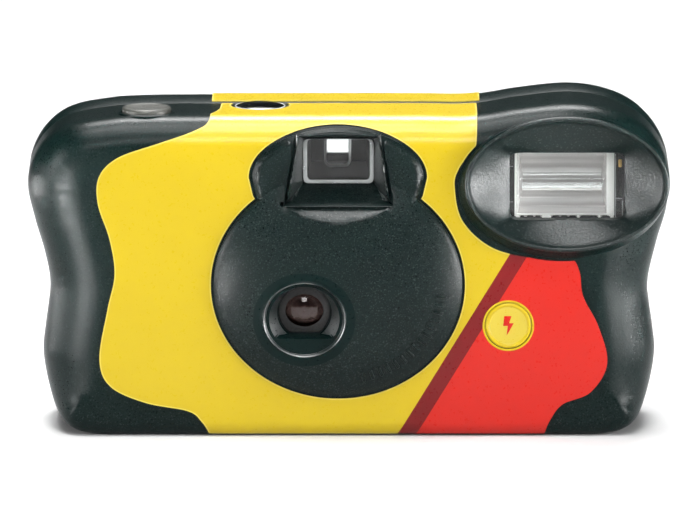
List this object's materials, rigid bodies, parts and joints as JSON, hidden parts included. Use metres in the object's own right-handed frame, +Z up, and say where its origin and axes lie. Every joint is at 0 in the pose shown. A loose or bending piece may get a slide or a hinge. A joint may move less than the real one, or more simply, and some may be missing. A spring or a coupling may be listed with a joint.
{
  "type": "single-use film camera",
  "caption": "Single-use film camera with rounded grips, a domed lens panel, a finder arch, a built-in flash, a shutter button, a thumb wheel and a film door.",
  "frame": {"origin": "on the resting plane under the camera, at the middle of the body's width and of its depth between the flat front and back faces", "axes": "+X to the right seen from the front, +Y to the back, away from the lens side, +Z up"},
  "size_m": [0.117, 0.0389, 0.0607],
  "materials": {
    "black_plastic": "fine grained",
    "label_print": "printed sheet",
    "inner_black": "matt",
    "white_plastic": "satin",
    "button_grey": "satin",
    "clear_plastic": "polished",
    "lens_plastic": "polished",
    "steel": "bright",
    "blackened_steel": "blackened",
    "brass": "plain",
    "reflector": "polished",
    "film": "film",
    "can": "lacquered",
    "cap_metal": "plain",
    "board": "lacquered board",
    "sleeve": "shrink sleeve",
    "coil": "varnished wire",
    "cell": "printed sleeve",
    "amber": "clear",
    "charge_yellow": "printed"
  },
  "bodies": {
    "camera": {"front_cover": "black_plastic", "rear_cover": "black_plastic", "front_label": "label_print", "rear_label": "label_print", "chassis": "inner_black", "taking_lens": "lens_plastic", "lens_retainer": "inner_black", "aperture_plate": "blackened_steel", "drive_spring": "steel", "finder_front_lens": "clear_plastic", "finder_eyepiece": "clear_plastic", "counter_window": "clear_plastic", "ratchet_pawl": "inner_black", "cassette_shell": "can", "cassette_caps": "cap_metal", "film_strip": "film", "flash_window": "clear_plastic", "flash_reflector": "reflector", "flash_tube": "clear_plastic", "flash_board": "board", "flash_capacitor": "sleeve", "step_up_transformer": "coil", "trigger_coil": "coil", "sync_contacts": "brass", "battery": "cell", "battery_contacts": "brass", "ready_light": "amber"},
    "door": {"film_door": "black_plastic"},
    "button": {"shutter_button": "button_grey"},
    "meter": {"metering_lever": "white_plastic"},
    "winder": {"advance_wheel": "inner_black", "cassette_spool": "inner_black"},
    "transport": {"sprocket": "white_plastic"},
    "supply": {"film_roll": "film", "supply_spool": "inner_black"},
    "counter": {"counter_disc": "white_plastic"},
    "lever": {"drive_lever": "white_plastic"},
    "blade": {"shutter_blade": "blackened_steel"},
    "charge": {"charge_button": "charge_yellow", "charge_contact": "brass"}
  },
  "joints": [
    {"name": "button_press", "type": "slide", "parent": "camera", "child": "button", "axis": [0, 0, -1], "range_m": [0, 0.0012], "stiffness_N_per_m": 400},
    {"name": "charge_press", "type": "slide", "parent": "camera", "child": "charge", "axis": [0, 1, 0], "range_m": [0, 0.0008], "stiffness_N_per_m": 400},
    {"name": "wheel_turn", "type": "hinge", "parent": "camera", "child": "winder", "pos_m": [-0.0385, 0.0023, 0.0478], "axis": [0, 0, 1], "continuous": true},
    {"name": "sprocket_turn", "type": "hinge", "parent": "camera", "child": "transport", "pos_m": [-0.0166, 0.00495, 0.0371], "axis": [0, 0, 1], "continuous": true},
    {"name": "supply_turn", "type": "hinge", "parent": "camera", "child": "supply", "pos_m": [0.0211, 0.0015, 0.023], "axis": [0, 0, 1], "continuous": true},
    {"name": "counter_turn", "type": "hinge", "parent": "camera", "child": "counter", "pos_m": [-0.0216, -0.00305, 0.0551], "axis": [0, 0, 1], "continuous": true},
    {"name": "drive_turn", "type": "hinge", "parent": "camera", "child": "lever", "pos_m": [-0.0045, -0.003, 0.0407], "axis": [0, 0, 1], "range_deg": [0, 40], "stiffness_Nm_per_rad": 0.002},
    {"name": "blade_turn", "type": "hinge", "parent": "camera", "child": "blade", "pos_m": [-0.0021, -0.0111, 0.0295], "axis": [0, 1, 0], "range_deg": [0, 38.5]},
    {"name": "meter_turn", "type": "hinge", "parent": "camera", "child": "meter", "pos_m": [-0.0205, -0.0086, 0.0516], "axis": [0, 0, 1], "range_deg": [0, 10.5]},
    {"name": "door_turn", "type": "hinge", "parent": "camera", "child": "door", "pos_m": [-0.035, -0.0116, 0.0008], "axis": [-1, 0, 0], "range_deg": [0, 95]}
  ],
  "couplings": [
    {"joint": "sprocket_turn", "follows": "wheel_turn", "ratio": 1.1574},
    {"joint": "supply_turn", "follows": "wheel_turn", "ratio": 0.76087},
    {"joint": "counter_turn", "follows": "wheel_turn", "ratio": -0.04134},
    {"joint": "blade_turn", "follows": "drive_turn", "ratio": 0.95},
    {"joint": "meter_turn", "follows": "button_press", "rad_per_m": 145}
  ]
}
